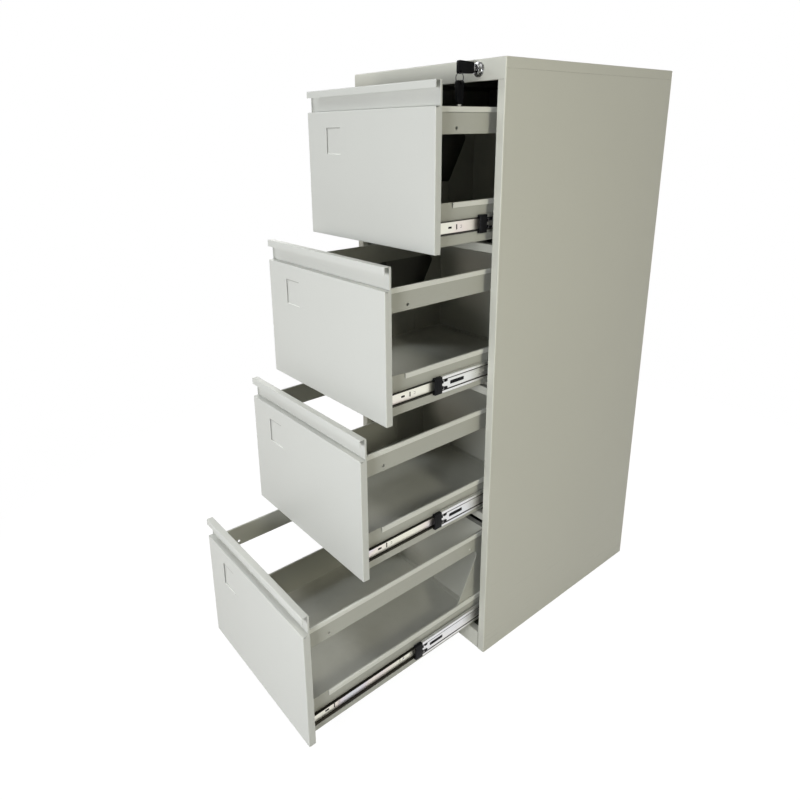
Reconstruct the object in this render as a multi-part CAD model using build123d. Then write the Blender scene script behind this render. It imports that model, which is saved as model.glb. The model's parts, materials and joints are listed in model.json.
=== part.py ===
from build123d import *
import os
from math import cos, radians, sin

os.makedirs("parts", exist_ok=True)

# Steel vertical file cabinet with suspension drawers on telescopic ball slides, in millimetres.
# X runs to the right, Y to the back and Z up. The origin is the middle of the base, on the floor.
# The drawers stand part open, each by its own amount.
# A cut runs past the surface that it starts from by the overrun.

# Cabinet shell
cabinet_width = 460.0
cabinet_depth = 600.0
cabinet_height = 1335.0
cabinet_sheet = 1.0
stile_width = 19.0
stile_return = 15.0
top_band = 39.0
band_return = 12.0
top_skirt = 20.0
top_edge_round = 2.5
plinth_height = 45.0
plinth_return = 18.0
base_upstand = 20.0
rear_flange = 15.0
skirt_joggle = 1.2
bend_radius = 1.6
seam_gap = 0.3
joggle_bend = 0.2
overrun = 1.0

# Inner frame
cross_rail_height = 18.0
cross_rail_depth = 14.0
cross_rail_setback = 3.0
post_width = 30.0
post_depth = 26.3
post_front_setback = 40.0
post_rear_setback = 470.0
post_sheet = 1.2
post_top_gap = 2.0

# Drawer fronts
drawer_count = 4
drawers_open = [150.8, 270.6, 334.0, 476.4]
closed_front_proud = 3.0
top_gap = 3.8
drawer_gap = 5.4
bottom_gap = 3.0
front_side_gap = 6.3
front_depth = 15.2
front_sheet = 1.0
front_edge_round = 1.5
grip_height = 43.7
lip_height = 14.0
grip_hem = 4.0
corner_notch_height = 1.6
corner_notch_length = 7.0
liner_sheet = 0.8
liner_flange = 9.0
label_width = 70.0
label_height = 55.0
label_depth = 2.0
label_from_left = 71.5
label_from_ledge = 32.5

# Drawer box
box_length = 520.0
box_sheet = 1.0
tray_lift = 9.0
tray_height = 83.0
tray_bend = 2.2
tray_front_upstand = 50.0
lip_out = 4.5
lip_bend = 1.1
tray_lip_drop = 10.0
tray_lip_setback = 58.0
rail_height = 48.0
rail_lip_drop = 9.5
rail_tab = 15.0
rail_hole_radius = 3.2
rail_hole_back = 67.0
rail_hole_up = 10.5
back_flange = 12.0
wing_top_reach = 70.0
wing_waist_reach = 24.0
wing_foot_reach = 96.0
wing_waist_round = 14.0
wing_shoulder = 8.0
wing_slope = 2.0
rivet_radius = 1.5
rivet_head_radius = 3.2
rivet_head_height = 1.3
rivet_clearance = 0.05
rivet_dome = 0.8
rivet_tail_share = 0.8
rivets_from_back = [57.0, 12.0]

# Telescopic slides: sizes across one slide, from the drawer's side outwards
slide_gap = 12.7
slide_length = 500.0
slide_setback = 20.0
slide_lift = 45.0
outer_sheet = 1.2
outer_height = 45.7
outer_reach = 10.5
outer_lip = 3.4
outer_setback = 2.0
middle_sheet = 1.1
middle_height = 36.0
middle_length = 450.0
middle_setback = 50.5
middle_track_face = 10.5
middle_web_face = 9.0
middle_web_half = 9.5
middle_lip_start = 2.7
middle_lip = 3.1
middle_web_joggle = 1.5
middle_out = [74.0, 191.5, 187.5, 241.5]
inner_sheet = 1.1
inner_height = 26.0
inner_reach = 6.6
slide_bend = 0.9
window_start = 23.0
window_length = 40.0
window_height = 8.0
window_fit = 0.2
slot_start = 8.0
slot_length = 8.0
slot_height = 3.6
slot_spread = 17.0
stop_length = 20.0
stop_wall_gap = 0.6
stop_round = 1.5
inner_hole_radius = 2.3
inner_holes = [33.0, 236.0, 480.0]
inner_slots = [50.0, 225.0, 255.0, 268.0]
inner_slot_width = 2.0
inner_slot_height = 10.0

# Ball cages of the slides
outer_ball_radius = 1.7
outer_cage_length = 230.0
outer_cage_setback = 136.0
inner_ball_radius = 1.8
inner_cage_length = 195.0
inner_cage_setback = 173.5
cage_sheet = 0.5
cage_web_gap = 0.25
balls_in_row = 6
cage_end_margin = 12.0
outer_ball_play = 1.8
inner_ball_play = 0.5
inner_cage_lap = 1.0

# Lock, keys and the bar that holds the closed drawers
lock_from_right = 67.0
lock_from_top = 18.5
bezel_radius = 14.0
bezel_height = 3.0
barrel_face_radius = 10.0
barrel_face_height = 8.0
barrel_body_radius = 9.0
barrel_body_length = 17.0
plug_radius = 6.0
plug_fit = 0.05
plug_proud = 1.0
bezel_round = 1.8
barrel_chamfer = 1.2
nut_radius = 13.0
nut_height = 4.0
rod_radius = 3.0
rod_fit = 0.01
crank_throw = 8.5
crank_start = 45.0
crank_radius = 6.0
crank_sheet = 3.0
crank_pin_radius = 2.5
crank_end_wall = 2.0
crank_pin_proud = 1.0
pin_slot_clearance = 0.4
pin_slot_wall = 5.0
pin_slot_play = 1.0
bar_sheet = 2.0
bar_width = 16.0
bar_behind_drawers = 11.0
bar_gap_to_crank = 1.0
tongue_reach = 22.0
tongue_height = 10.0
hook_below_rim = 23.3
hook_play = 3.0
hook_width = 14.0
hook_lip = 12.0
hook_clearance = 3.0
bracket_sheet = 1.2
bracket_play = 0.8
bracket_height = 20.0
bearing_half_width = 12.0
bearing_drop = 9.0
bearing_flange = 15.0
keeper_lap = 0.1
key_head_length = 44.0
key_head_height = 19.0
key_head_thick = 5.5
key_head_round = 4.0
key_head_edge = 1.0
key_blade_length = 26.0
key_blade_height = 8.0
key_blade_thick = 2.2
key_fit = 0.15
key_gap = 1.0
key_hole_radius = 2.2
key_hole_inset = 6.0
key_hole_up = 3.3
ring_radius = 9.5
ring_wire = 0.7
ring_play = 0.3

# Places that follow from the sizes above
half_width = cabinet_width / 2
front_plane = -cabinet_depth / 2
back_plane = cabinet_depth / 2
bay_half = half_width - stile_width
front_width = 2 * (bay_half - front_side_gap)
bay_top = cabinet_height - top_band
gaps_height = top_gap + bottom_gap + (drawer_count - 1) * drawer_gap
front_height = (bay_top - plinth_height - gaps_height) / drawer_count
panel_height = front_height - grip_height
pitch = front_height + drawer_gap
drawer_foot = [bay_top - top_gap - front_height - i * pitch for i in range(drawer_count)]
post_face = half_width - cabinet_sheet - post_depth
box_half = post_face - slide_gap
box_back = box_length + box_sheet
hook_up = panel_height - hook_below_rim
lock_x = half_width - lock_from_right
lock_z = cabinet_height - lock_from_top
bar_front = front_plane - closed_front_proud + box_back + bar_behind_drawers
hook_back = box_back + bar_behind_drawers + bar_sheet + hook_play + box_sheet
crank_back = bar_front - bar_gap_to_crank


def block(x0, x1, y0, y1, z0, z1):
    """A plain rectangular piece between two corners."""
    middle = Pos((x0 + x1) / 2, (y0 + y1) / 2, (z0 + z1) / 2)
    return middle * Box(abs(x1 - x0), abs(y1 - y0), abs(z1 - z0))


def strip(points, sheet, radius):
    """The section of a folded sheet: its middle line, with rounded bends, at the sheet's thickness."""
    line = FilletPolyline(*points, radius=radius) if len(points) > 2 else Line(*points)
    return trace(line, line_width=sheet)


def along_y(section, y0, y1):
    """A section drawn in X and Z, drawn out from y0 to y1."""
    return Pos(0, y0, 0) * extrude(Plane.XZ * section, amount=-(y1 - y0))


def along_x(section, x0, x1):
    """A section drawn in Y and Z, drawn out from x0 to x1."""
    return Pos(x0, 0, 0) * extrude(Plane.YZ * section, amount=x1 - x0)


def along_z(section, z0, z1):
    """A section drawn in X and Y, drawn out from z0 to z1."""
    return Pos(0, 0, z0) * extrude(section, amount=z1 - z0)


def round_bar(radius, x, z, y0, y1):
    """A round bar that lies along Y."""
    return Pos(x, (y0 + y1) / 2, z) * Rot(90, 0, 0) * Cylinder(radius, y1 - y0)


def cross_bar(radius, y, z, x0, x1):
    """A round bar that lies along X."""
    return Pos((x0 + x1) / 2, y, z) * Rot(0, 90, 0) * Cylinder(radius, abs(x1 - x0))


def both_sides(piece):
    """The piece for the right side and its mirror image for the left side."""
    return [piece, mirror(piece, about=Plane.YZ)]


def save(node, pieces):
    """Write one sub-part; a list is a group of separate solids."""
    solids = [solid for piece in pieces for solid in piece.solids()]
    shape = solids[0] if len(solids) == 1 else Compound(children=solids)
    export_step(shape, "parts/" + node + ".step")


# Cabinet shell

def side_panel():
    """The right side: wall, folded stile at the front, flange at the back, joggle under the cover."""
    half_sheet = cabinet_sheet / 2
    wall_x = half_width - half_sheet
    skirt_z = cabinet_height - top_skirt
    front_y = front_plane + half_sheet
    back_y = back_plane - half_sheet
    plan = strip(
        [
            (half_width - stile_width + half_sheet, front_plane + stile_return),
            (half_width - stile_width + half_sheet, front_y),
            (wall_x, front_y),
            (wall_x, back_y),
            (half_width - rear_flange, back_y),
        ],
        cabinet_sheet,
        bend_radius,
    )
    folded = along_z(plan, 0, skirt_z - seam_gap)
    inside_x = half_width - stile_width - overrun
    folded -= block(inside_x, half_width - 2 * bend_radius, front_plane - overrun,
                    front_plane + stile_return + overrun, bay_top - seam_gap, cabinet_height)
    folded -= block(inside_x, half_width + overrun, front_plane - overrun,
                    front_plane + top_edge_round + seam_gap, bay_top - seam_gap, cabinet_height)
    inner_wall_x = wall_x - skirt_joggle
    joggle = strip(
        [
            (wall_x, skirt_z - top_skirt / 2),
            (wall_x, skirt_z - 2 * seam_gap - half_sheet),
            (inner_wall_x, skirt_z - 2 * seam_gap),
            (inner_wall_x, cabinet_height - cabinet_sheet - top_edge_round),
        ],
        cabinet_sheet,
        joggle_bend,
    )
    tucked_y = front_plane + 2 * cabinet_sheet + bend_radius
    return folded + along_y(joggle, tucked_y, back_plane - 2 * cabinet_sheet - bend_radius)


def top_cover():
    """A shallow cap: top sheet, deep band over the bays and narrow skirts on the other sides."""
    band_foot = cabinet_height - top_band
    cap = block(-half_width, half_width, front_plane, back_plane, band_foot, cabinet_height)
    top_edges = cap.faces().sort_by(Axis.Z)[-1].edges()
    cap = fillet(top_edges + cap.edges().filter_by(Axis.Z), top_edge_round)
    hollow = block(-half_width + cabinet_sheet, half_width - cabinet_sheet, front_plane + cabinet_sheet,
                   back_plane - cabinet_sheet, band_foot - overrun, cabinet_height - cabinet_sheet)
    hollow_edges = hollow.faces().sort_by(Axis.Z)[-1].edges() + hollow.edges().filter_by(Axis.Z)
    cap -= fillet(hollow_edges, top_edge_round - cabinet_sheet)
    behind_band = front_plane + top_edge_round
    cap -= block(-half_width - overrun, half_width + overrun, behind_band, back_plane + overrun,
                 band_foot - overrun, cabinet_height - top_skirt)
    fold = block(-bay_half + seam_gap, bay_half - seam_gap, front_plane + cabinet_sheet / 2,
                 front_plane + band_return, band_foot, band_foot + cabinet_sheet)
    lock_hole = round_bar(barrel_body_radius + plug_fit, lock_x, lock_z,
                          front_plane - overrun, front_plane + cabinet_sheet + overrun)
    return cap + fold - lock_hole


def base_pan():
    """The floor sheet of the cabinet, with the plinth folded up in front and low upstands around it."""
    half_sheet = cabinet_sheet / 2
    section = strip(
        [
            (front_plane + plinth_return, plinth_height - half_sheet),
            (front_plane + half_sheet, plinth_height - half_sheet),
            (front_plane + half_sheet, half_sheet),
            (back_plane - 2 * cabinet_sheet - half_sheet, half_sheet),
            (back_plane - 2 * cabinet_sheet - half_sheet, base_upstand),
        ],
        cabinet_sheet,
        bend_radius,
    )
    pan = along_x(section, -bay_half + seam_gap, bay_half - seam_gap)
    wall = half_width - cabinet_sheet
    behind_stile = front_plane + stile_return + bend_radius
    behind_frame = back_plane - 2 * cabinet_sheet - bend_radius
    floor = block(-wall, wall, behind_stile, behind_frame, 0, cabinet_sheet)
    upstand = block(wall - cabinet_sheet, wall, behind_stile, behind_frame, 0, base_upstand)
    pan = pan + floor
    for piece in both_sides(upstand):
        pan += piece
    return pan


def back_sheet():
    """The cabinet's back, inside the rear flanges of the sides."""
    tucked_x = half_width - cabinet_sheet - top_edge_round
    return block(-tucked_x, tucked_x, back_plane - 2 * cabinet_sheet, back_plane - cabinet_sheet,
                 cabinet_sheet, cabinet_height - top_skirt / 2)


def cross_rails():
    """Channels behind the gaps between the drawers, from side to side."""
    front_y = front_plane + front_depth + cross_rail_setback
    wall = half_width - cabinet_sheet
    rails = []
    for foot in drawer_foot[:-1]:
        top = foot - cabinet_sheet
        section = strip(
            [
                (front_y + cross_rail_depth, top - cabinet_sheet / 2),
                (front_y + cabinet_sheet / 2, top - cabinet_sheet / 2),
                (front_y + cabinet_sheet / 2, top - cross_rail_height + cabinet_sheet / 2),
                (front_y + cross_rail_depth, top - cross_rail_height + cabinet_sheet / 2),
            ],
            cabinet_sheet,
            bend_radius,
        )
        rails.append(along_x(section, -wall, wall))
    return rails


def posts(setback):
    """A pair of upright channels that carry the slides, open towards the cabinet's sides."""
    y0 = front_plane + setback
    wall = half_width - cabinet_sheet
    web_x = post_face + post_sheet / 2
    plan = strip(
        [
            (wall, y0 + post_sheet / 2),
            (web_x, y0 + post_sheet / 2),
            (web_x, y0 + post_width - post_sheet / 2),
            (wall, y0 + post_width - post_sheet / 2),
        ],
        post_sheet,
        bend_radius,
    )
    return both_sides(along_z(plan, base_upstand + seam_gap, cabinet_height - top_skirt - post_top_gap))


# Drawer pieces, drawn with the front's face at y = 0 and its lower edge at z = 0

def label_wedge(face_y, depth):
    """A ramp behind the label's place: deepest at the left edge and running out to the right."""
    left = -front_width / 2 + label_from_left
    top = panel_height - label_from_ledge
    before = face_y - front_sheet / 2
    plan = make_face(Polyline((left, before), (left, face_y + depth),
                              (left + label_width, face_y), (left + label_width, before), close=True))
    return along_z(plan, top - label_height, top)


def front_skin():
    """The painted front: a shallow pan, the grip plate above it and the lip that hangs from its top."""
    half = front_width / 2
    half_sheet = front_sheet / 2
    skin = block(-half, half, 0, front_depth, 0, panel_height)
    skin = fillet(skin.faces().sort_by(Axis.Y)[0].edges(), front_edge_round)
    skin -= block(-half + front_sheet, half - front_sheet, front_sheet, front_depth + overrun,
                  front_sheet, panel_height - front_sheet)
    grip = strip(
        [
            (front_depth - half_sheet, panel_height - front_sheet),
            (front_depth - half_sheet, front_height - half_sheet),
            (half_sheet, front_height - half_sheet),
            (half_sheet, front_height - lip_height),
        ],
        front_sheet,
        front_edge_round,
    )
    skin += along_x(grip, -half, half)
    hem = block(half - front_sheet, half, front_depth - grip_hem, front_depth,
                panel_height - front_sheet, front_height - front_edge_round)
    notch_foot = panel_height - front_sheet - corner_notch_height
    notch_back = front_edge_round + corner_notch_length
    notch = block(half - 2 * front_sheet, half + overrun, front_edge_round, notch_back,
                  notch_foot, panel_height - front_sheet)
    for piece in both_sides(hem):
        skin += piece
    for piece in both_sides(notch):
        skin -= piece
    skin += label_wedge(front_sheet, label_depth)
    return skin - label_wedge(0, label_depth)


def front_liner():
    """The inner pan that closes the back of the drawer's front."""
    half = front_width / 2 - front_sheet
    top = panel_height - front_sheet - corner_notch_height
    shell = block(-half, half, front_depth - liner_flange, front_depth, front_sheet, top)
    return shell - block(-half + liner_sheet, half - liner_sheet, front_depth - liner_flange - overrun,
                         front_depth - liner_sheet, front_sheet + liner_sheet, top - liner_sheet)


def tray():
    """The drawer's floor with low sides that end in a folded lip."""
    half_sheet = box_sheet / 2
    side_x = box_half - half_sheet
    top = tray_lift + tray_height
    floor_z = tray_lift + half_sheet
    plain = strip([(side_x, top), (side_x, floor_z), (-side_x, floor_z), (-side_x, top)],
                  box_sheet, tray_bend)
    body = along_y(plain, front_depth, tray_lip_setback)
    lip_x = box_half + lip_out - half_sheet
    lip_z = top - half_sheet
    right = [(lip_x, top - tray_lip_drop), (lip_x, lip_z), (side_x, lip_z), (side_x, floor_z)]
    left = [(-x, z) for x, z in reversed(right)]
    bends = [lip_bend, lip_bend, tray_bend, tray_bend, lip_bend, lip_bend]
    lipped = trace(FilletPolyline(*(right + left), radius=bends), line_width=box_sheet)
    body += along_y(lipped, tray_lip_setback, box_back)
    weld = box_half - 2 * tray_bend
    return body + block(-weld, weld, front_depth, front_depth + box_sheet,
                        tray_lift + half_sheet, tray_lift + tray_front_upstand)


def rivet_places():
    """Where the rails are riveted to the wings: distance behind the face, and height."""
    z = panel_height - rail_height + rail_hole_up
    return [(box_length - back, z) for back in rivets_from_back]


def back_panel():
    """The full-height back with its side wings, the flanges at its foot and head, and the lock's hook."""
    half = box_half - box_sheet
    floor = tray_lift + box_sheet
    wing_foot = floor + 2 * tray_bend
    between_bends = half - tray_bend
    sheet = block(-half, half, box_length, box_back, wing_foot, panel_height)
    sheet += block(-between_bends, between_bends, box_length, box_back, floor, wing_foot)
    foot = block(-between_bends, between_bends, box_length - back_flange, box_length + box_sheet / 2,
                 floor, floor + box_sheet)
    head = block(-half, half, box_length - back_flange, box_length + box_sheet / 2,
                 panel_height - box_sheet, panel_height)
    rail_foot = panel_height - rail_height
    tray_top = tray_lift + tray_height
    outline = Polyline(
        (box_length + box_sheet / 2, panel_height),
        (box_length - wing_top_reach, panel_height),
        (box_length - wing_top_reach, rail_foot),
        (box_length - wing_waist_reach, rail_foot - wing_slope),
        (box_length - wing_foot_reach + wing_shoulder, tray_top + wing_shoulder),
        (box_length - wing_foot_reach, tray_top - wing_shoulder),
        (box_length - wing_foot_reach, wing_foot),
        (box_length + box_sheet / 2, wing_foot),
        close=True,
    )
    face = make_face(outline)
    waist = face.vertices().sort_by_distance((box_length - wing_waist_reach, rail_foot - wing_slope, 0))
    face = fillet(waist[0], wing_waist_round)
    wing = along_x(face, half - box_sheet, half)
    panel = sheet + foot + head
    for piece in both_sides(wing):
        panel += piece
    hook_x = lock_x - crank_throw - bar_width - hook_width
    panel += block(hook_x - hook_width, hook_x, box_back - box_sheet / 2, hook_back,
                   hook_up, hook_up + box_sheet)
    panel += block(hook_x - hook_width, hook_x, hook_back - box_sheet, hook_back, hook_up - hook_lip, hook_up)
    for y, z in rivet_places():
        panel -= cross_bar(rivet_radius + rivet_clearance, y, z, -box_half, box_half)
    return panel


def hanging_rails():
    """The pair of top rails for hanging files, with the rivets that hold them to the back's wings."""
    half_sheet = box_sheet / 2
    web_x = box_half - half_sheet
    lip_x = box_half + lip_out - half_sheet
    foot = panel_height - rail_height
    section = strip(
        [
            (web_x, foot),
            (web_x, panel_height - half_sheet),
            (lip_x, panel_height - half_sheet),
            (lip_x, panel_height - rail_lip_drop),
        ],
        box_sheet,
        lip_bend,
    )
    rail = along_y(section, front_depth, box_back)
    rail += block(box_half - rail_tab, box_half - half_sheet, front_depth, front_depth + box_sheet,
                  foot, panel_height - 2 * box_sheet)
    rail -= cross_bar(rail_hole_radius, rail_hole_back, foot + rail_hole_up,
                      box_half - box_sheet - overrun, box_half + overrun)
    pieces = []
    for y, z in rivet_places():
        rail -= cross_bar(rivet_radius + rivet_clearance, y, z, box_half - box_sheet - overrun,
                          box_half + overrun)
        grip = box_half - 2 * box_sheet
        rivet = cross_bar(rivet_radius, y, z, grip - rivet_head_height / 2, box_half + rivet_head_height / 2)
        outer_head = cross_bar(rivet_head_radius, y, z, box_half, box_half + rivet_head_height)
        outer_head = fillet(outer_head.edges().sort_by(Axis.X)[-1], rivet_head_height * rivet_dome)
        inner_head = cross_bar(rivet_head_radius * rivet_tail_share, y, z, grip - rivet_head_height / 2, grip)
        pieces.append(rivet + outer_head + inner_head)
    pieces.append(rail)
    return [mirrored for piece in pieces for mirrored in both_sides(piece)]


# Slide members, drawn at x = out from the drawer's side and z = up from the slide's middle,
# with y = 0 at the closed drawer's front face

def mirrored_section(upper, sheet):
    """A section that is the same above and below its middle, from the points of its upper half."""
    lower = [(x, -z) for x, z in reversed(upper)]
    return strip(upper + lower, sheet, slide_bend)


def in_place(piece):
    """Move a slide member from its own section to the drawer's right side."""
    return Pos(box_half, 0, slide_lift) * piece


def outer_member():
    """The member fixed to the posts."""
    web = slide_gap - outer_sheet / 2
    flange = outer_height / 2 - outer_sheet / 2
    lip_x = slide_gap - outer_reach + outer_sheet / 2
    section = mirrored_section(
        [(lip_x, flange - outer_lip + outer_sheet), (lip_x, flange), (web, flange)], outer_sheet)
    start = slide_setback + outer_setback
    return in_place(along_y(section, start, start + slide_length))


def middle_member():
    """The member between the two others: raised tracks, a sunk web, front slots and a window."""
    flange = middle_height / 2 - middle_sheet / 2
    track = middle_track_face - middle_sheet / 2
    web = middle_web_face - middle_sheet / 2
    lip_x = middle_lip_start + middle_sheet / 2
    section = mirrored_section(
        [
            (lip_x, flange - middle_lip + middle_sheet / 2),
            (lip_x, flange),
            (track, flange),
            (track, middle_web_half + middle_web_joggle),
            (web, middle_web_half),
        ],
        middle_sheet,
    )
    start = slide_setback + middle_setback
    member = along_y(section, start, start + middle_length)
    member -= window_cut(start + window_start, window_length, window_height, 0)
    for z in (slot_spread / 2, -slot_spread / 2):
        member -= window_cut(start + slot_start, slot_length, slot_height, z)
    member -= window_cut(start + middle_length - window_start - window_length, window_length,
                         window_height, 0)
    return in_place(member)


def window_cut(start, length, height, z):
    """A cut with round ends through the web of a slide member."""
    slot = Plane.YZ * Pos(start + length / 2, z) * SlotOverall(length, height)
    return extrude(slot, amount=slide_gap)


def inner_member():
    """The member screwed to the drawer, with its fixing holes and catch slots."""
    flange = inner_height / 2 - inner_sheet / 2
    section = mirrored_section(
        [(inner_reach, flange), (inner_sheet / 2, flange)], inner_sheet)
    member = along_y(section, slide_setback, slide_setback + slide_length)
    for back in inner_holes:
        member -= cross_bar(inner_hole_radius, slide_setback + back, 0, -overrun, inner_reach)
    for back in inner_slots:
        start = slide_setback + back
        member -= block(-overrun, inner_sheet + overrun, start, start + inner_slot_width,
                        -inner_slot_height / 2, inner_slot_height / 2)
    return in_place(member)


def slide_stop():
    """The plastic stop on the middle member's front end, and the insert clipped in its window."""
    start = slide_setback + middle_setback
    half = middle_height / 2
    clear = inner_height / 2 + stop_wall_gap
    body = block(middle_lip_start, middle_track_face, start - stop_length, start, -half, half)
    body = fillet(body.edges().filter_by(Axis.Z).sort_by(Axis.Y)[:2], stop_round)
    body -= block(middle_lip_start - overrun, inner_reach + stop_wall_gap,
                  start - stop_length - overrun, start + overrun, -clear, clear)
    insert_back = middle_web_face - middle_sheet
    insert = Plane.YZ * Pos(start + window_start + window_length / 2, 0) * SlotOverall(
        window_length - 2 * window_fit, window_height - 2 * window_fit)
    plug = Pos(insert_back, 0, 0) * extrude(insert, amount=middle_sheet / 2)
    return [in_place(body), in_place(plug)]


def ball_cage(web_x, flange_x, row_z, ball_radius, ball_x, length, start):
    """A thin channel that holds a row of balls above and a row below, fused where they are pressed in."""
    section = mirrored_section([(flange_x, row_z), (web_x, row_z)], cage_sheet)
    cage = along_y(section, start, start + length)
    spacing = (length - 2 * cage_end_margin) / (balls_in_row - 1)
    for number in range(balls_in_row):
        for z in (row_z, -row_z):
            cage += Pos(ball_x, start + cage_end_margin + number * spacing, z) * Sphere(ball_radius)
    return in_place(cage)


def outer_cage():
    """The cage between the outer and the middle member."""
    row = (middle_height / 2 + outer_height / 2 - outer_sheet) / 2
    web = middle_track_face + cage_web_gap + cage_sheet / 2
    ball_x = slide_gap - outer_reach + outer_sheet + outer_ball_radius + outer_ball_play
    return ball_cage(web, ball_x - outer_ball_radius, row, outer_ball_radius, ball_x,
                     outer_cage_length, slide_setback + outer_cage_setback)


def inner_cage():
    """The cage between the middle and the inner member."""
    row = (inner_height / 2 + middle_height / 2 - middle_sheet) / 2
    web = (inner_reach + inner_sheet / 4 + middle_web_face - middle_sheet) / 2
    ball_x = middle_lip_start + middle_sheet + inner_ball_radius + inner_ball_play
    return ball_cage(web, ball_x - inner_cage_lap, row, inner_ball_radius, ball_x,
                     inner_cage_length, slide_setback + inner_cage_setback)


# Lock and keys

def lock_barrel():
    """The chromed housing: a wide bezel, a raised face and a threaded body through the band."""
    face_y = front_plane - bezel_height - barrel_face_height
    bezel = round_bar(bezel_radius, lock_x, lock_z, front_plane - bezel_height, front_plane)
    bezel = fillet(bezel.edges().sort_by(Axis.Y)[0], bezel_round)
    face = round_bar(barrel_face_radius, lock_x, lock_z, face_y, front_plane)
    face = chamfer(face.edges().sort_by(Axis.Y)[0], barrel_chamfer)
    back_y = front_plane + barrel_body_length
    body = round_bar(barrel_body_radius, lock_x, lock_z, front_plane - bezel_height / 2, back_y)
    bore = round_bar(plug_radius + plug_fit, lock_x, lock_z, face_y - overrun, back_y + overrun)
    return bezel + face + body - bore


def lock_nut():
    """The hexagonal nut that clamps the barrel behind the band."""
    y0 = front_plane + cabinet_sheet
    outline = Pos(lock_x, lock_z) * RegularPolygon(nut_radius, 6)
    nut = along_y(outline, y0, y0 + nut_height)
    return nut - round_bar(barrel_body_radius + plug_fit, lock_x, lock_z,
                           y0 - overrun, y0 + nut_height + overrun)


def plug_front():
    """Where the plug's face lies."""
    return front_plane - bezel_height - barrel_face_height - plug_proud


def lock_plug():
    """The turning core with its keyway."""
    plug = round_bar(plug_radius, lock_x, lock_z, plug_front(), front_plane + barrel_body_length)
    half_thick = key_blade_thick / 2 + key_fit
    half_height = key_blade_height / 2 + key_fit
    return plug - block(lock_x - half_thick, lock_x + half_thick, plug_front() - overrun,
                        plug_front() + key_blade_length + overrun, lock_z - half_height, lock_z + half_height)


def lock_rod():
    """The rod that carries the plug's turn to the back of the cabinet, above the top drawer."""
    return round_bar(rod_radius, lock_x, lock_z, front_plane + barrel_body_length, crank_back)


def crank_pin_place():
    """Middle of the crank's pin with the key at rest, below and to the left of the rod: x and z."""
    return lock_x - crank_throw * cos(radians(crank_start)), lock_z - crank_throw * sin(radians(crank_start))


def lock_crank():
    """The crank on the rod's rear end, with the pin that lifts the lock bar."""
    pin_x, pin_z = crank_pin_place()
    y0 = crank_back - crank_sheet
    hub = round_bar(crank_radius, lock_x, lock_z, y0, crank_back)
    end = round_bar(crank_pin_radius + crank_end_wall, pin_x, pin_z, y0, crank_back)
    pin = round_bar(crank_pin_radius, pin_x, pin_z, y0, bar_front + bar_sheet + crank_pin_proud)
    bore = round_bar(rod_radius + rod_fit, lock_x, lock_z, y0 - overrun, crank_back + overrun)
    return hub + end + pin - bore


def key(hole_y, hole_z, hanging):
    """A key with a long moulded head and a flat blade; a hanging one points straight down from its hole."""
    hole_up = 0 if hanging else key_hole_up - key_head_height / 2
    head = block(-key_head_thick / 2, key_head_thick / 2, 0, key_head_length,
                 -key_head_height / 2, key_head_height / 2)
    head = fillet(head.edges().filter_by(Axis.X), key_head_round)
    flat_faces = head.faces().sort_by(Axis.X)
    head = fillet(flat_faces[0].edges() + flat_faces[-1].edges(), key_head_edge)
    head -= cross_bar(key_hole_radius, key_hole_inset, hole_up, -key_head_thick, key_head_thick)
    tip = key_head_length + key_blade_length
    blade = block(-key_blade_thick / 2, key_blade_thick / 2, key_head_length, tip,
                  -key_blade_height / 2, key_blade_height / 2)
    blade -= block(key_blade_thick / 4, key_blade_thick, key_head_length - overrun, tip + overrun,
                   -key_blade_height / 8, key_blade_height / 8)
    turn = Rot(-90, 0, 0) if hanging else Rot(0, 0, 0)
    return [Pos(lock_x, hole_y, hole_z) * turn * Pos(0, -key_hole_inset, -hole_up) * piece
            for piece in (head, blade)]


def key_hole_place():
    """Middle of the hole in the inserted key's head: y and z."""
    y = plug_front() - key_gap - key_head_length + key_hole_inset
    return y, lock_z - key_head_height / 2 + key_hole_up


def ring_drop():
    """How far the ring's wire lies below the middle of a key's hole, where it crosses the thick head."""
    half_thick = key_head_thick / 2
    sag = ring_radius - (ring_radius ** 2 - half_thick ** 2) ** 0.5
    return key_hole_radius - ring_wire - sag - ring_play


def key_ring():
    """The wire ring through the inserted key's head."""
    y, z = key_hole_place()
    return Pos(lock_x, y, z - ring_drop() - ring_radius) * Rot(90, 0, 0) * Torus(ring_radius, ring_wire)


def spare_key():
    """The second key, which hangs from the ring."""
    y, z = key_hole_place()
    return key(y, z - 2 * ring_drop() - 2 * ring_radius, True)


def lock_bar():
    """The upright bar behind the drawers, with a slot for the crank's pin and a welded tongue for each drawer."""
    right = lock_x - crank_throw
    left = right - bar_width
    foot = drawer_foot[-1]
    pin_x, slot_z = crank_pin_place()
    slot_half = crank_pin_radius + pin_slot_clearance
    head_half = slot_half + pin_slot_wall
    bar = block(left, right, bar_front, bar_front + bar_sheet, foot, slot_z)
    head_right = lock_x + crank_pin_radius
    bar += block(left, head_right, bar_front, bar_front + bar_sheet, slot_z - head_half, slot_z + head_half)
    slot_left = right - slot_half - pin_slot_play
    slot_right = pin_x + slot_half + pin_slot_play
    slot = Pos((slot_left + slot_right) / 2, slot_z) * SlotOverall(slot_right - slot_left, 2 * slot_half)
    bar -= along_y(slot, bar_front - overrun, bar_front + bar_sheet + overrun)
    pieces = [bar]
    for drawer in drawer_foot:
        tongue_top = drawer + hook_up - hook_lip - hook_clearance
        pieces.append(block(left - tongue_reach, left, bar_front, bar_front + bar_sheet,
                            tongue_top - tongue_height, tongue_top))
    return pieces


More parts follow.
